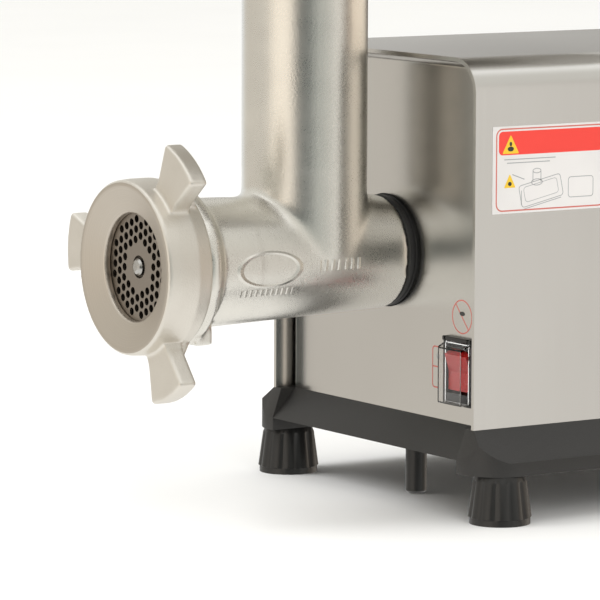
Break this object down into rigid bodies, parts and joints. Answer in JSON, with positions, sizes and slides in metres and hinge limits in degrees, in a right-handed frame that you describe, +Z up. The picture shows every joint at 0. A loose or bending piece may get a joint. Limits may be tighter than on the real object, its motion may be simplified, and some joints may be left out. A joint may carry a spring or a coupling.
{
  "type": "electric meat grinder",
  "caption": "Countertop electric meat grinder with a stainless steel casing on a dark moulded base, a plug-in cast grinding head, ring nut, feed tray and pusher.",
  "frame": {"origin": "on the table, under the middle of the machine's box", "axes": "+Y from the ring nut to the back, along the feed screw's line; +X to the side of the switch; +Z up"},
  "size_m": [0.256, 0.464, 0.3836],
  "materials": {
    "head_casting": "tinned sand casting, satin",
    "steel_plate": "ground hardened steel",
    "machined_steel": "turned steel",
    "bearing_steel": "polished",
    "bronze": "turned bronze",
    "nylon": "plain nylon",
    "stainless_sheet": "satin brushed stainless sheet",
    "base_plastic": "fine grained moulding",
    "foot_rubber": "fluted, slightly glossy",
    "black_plastic": "moulded, slightly glossy",
    "seal_rubber": "moulded",
    "zinc_steel": "zinc plated",
    "label_film": "printed film",
    "red_plastic": "moulded, glossy",
    "clear_plastic": "clear moulding",
    "white_plastic": "moulded polyethylene",
    "cast_aluminium": "die casting",
    "motor_paint": "painted shell",
    "laminations": "stacked sheet",
    "copper": "varnished copper windings"
  },
  "bodies": {
    "machine": {"base": "base_plastic", "foot_front_right": "foot_rubber", "foot_rear_right": "foot_rubber", "foot_front_left": "foot_rubber", "foot_rear_left": "foot_rubber", "foot_screws": "zinc_steel", "base_screws": "zinc_steel", "centre_stop": "black_plastic", "casing_wrap": "stainless_sheet", "front_panel": "stainless_sheet", "rear_panel": "stainless_sheet", "rear_panel_screws": "zinc_steel", "side_label": "label_film", "switch_bezel": "black_plastic", "hub_seal": "seal_rubber", "gearbox_cover": "cast_aluminium", "gearbox_housing": "cast_aluminium", "gearbox_bolts": "zinc_steel", "output_bearings": "bearing_steel", "layshaft_bearings": "bearing_steel", "rotor_bearings": "bearing_steel", "shaft_seal": "seal_rubber", "motor_shell": "motor_paint", "stator_core": "laminations", "stator_windings": "copper", "motor_end_shield": "cast_aluminium", "motor_cradle": "zinc_steel", "run_capacitor": "black_plastic", "capacitor_clamp": "zinc_steel", "terminal_block": "nylon", "cable_gland": "black_plastic", "gland_nut": "black_plastic"},
    "output_drive": {"output_shaft": "machined_steel", "output_gear": "machined_steel", "output_circlip": "machined_steel"},
    "layshaft_pair": {"layshaft": "machined_steel", "layshaft_gear": "machined_steel"},
    "rotor": {"rotor_shaft": "machined_steel", "rotor_core": "laminations", "cooling_fan": "black_plastic"},
    "head": {"head_casting": "head_casting", "plate_key": "machined_steel", "hole_plate": "steel_plate", "rear_bushing": "bronze"},
    "screw_group": {"feed_screw": "machined_steel", "screw_stud": "machined_steel", "knife": "steel_plate", "thrust_washer": "nylon"},
    "ring_nut": {"ring_nut": "head_casting"},
    "feed_tray": {"feed_tray": "stainless_sheet"},
    "pusher": {"pusher": "white_plastic"},
    "switch_rocker": {"switch_rocker": "red_plastic"},
    "switch_cover": {"switch_cover": "clear_plastic"},
    "head_lock": {"head_lock_screw": "machined_steel", "head_lock_knob": "black_plastic"}
  },
  "joints": [
    {"name": "head_pull", "type": "slide", "parent": "machine", "child": "head", "axis": [0, -1, 0], "range_m": [0, 0.06]},
    {"name": "screw_turn", "type": "hinge", "parent": "head", "child": "screw_group", "pos_m": [0, -0.132, 0.1457], "axis": [0, 1, 0], "continuous": true},
    {"name": "nut_turn", "type": "hinge", "parent": "head", "child": "ring_nut", "pos_m": [0, -0.217, 0.1457], "axis": [0, 1, 0], "continuous": true},
    {"name": "tray_lift", "type": "slide", "parent": "head", "child": "feed_tray", "axis": [0, 0, 1], "range_m": [0, 0.08]},
    {"name": "pusher_lift", "type": "slide", "parent": "feed_tray", "child": "pusher", "axis": [0, 0, 1], "range_m": [0, 0.12]},
    {"name": "output_turn", "type": "hinge", "parent": "machine", "child": "output_drive", "pos_m": [0, 0.008, 0.1457], "axis": [0, 1, 0], "continuous": true},
    {"name": "layshaft_turn", "type": "hinge", "parent": "machine", "child": "layshaft_pair", "pos_m": [0, 0.048, 0.1877], "axis": [0, 1, 0], "continuous": true},
    {"name": "rotor_turn", "type": "hinge", "parent": "machine", "child": "rotor", "pos_m": [0, 0.148, 0.1457], "axis": [0, 1, 0], "continuous": true},
    {"name": "rocker_tilt", "type": "hinge", "parent": "machine", "child": "switch_rocker", "pos_m": [0.0766, -0.0506, 0.08285], "axis": [-1, 0, 0], "range_deg": [0, 16]},
    {"name": "cover_swing", "type": "hinge", "parent": "machine", "child": "switch_cover", "pos_m": [0.0766, -0.0558, 0.1012], "axis": [-1, 0, 0], "range_deg": [0, 95]},
    {"name": "lock_turn", "type": "hinge", "parent": "machine", "child": "head_lock", "pos_m": [-0.08, -0.032, 0.1457], "axis": [1, 0, 0], "continuous": true}
  ],
  "couplings": [
    {"joint": "layshaft_turn", "follows": "output_turn", "ratio": -2.5},
    {"joint": "rotor_turn", "follows": "output_turn", "ratio": 9.1667},
    {"joint": "screw_turn", "follows": "output_turn", "ratio": 1}
  ]
}
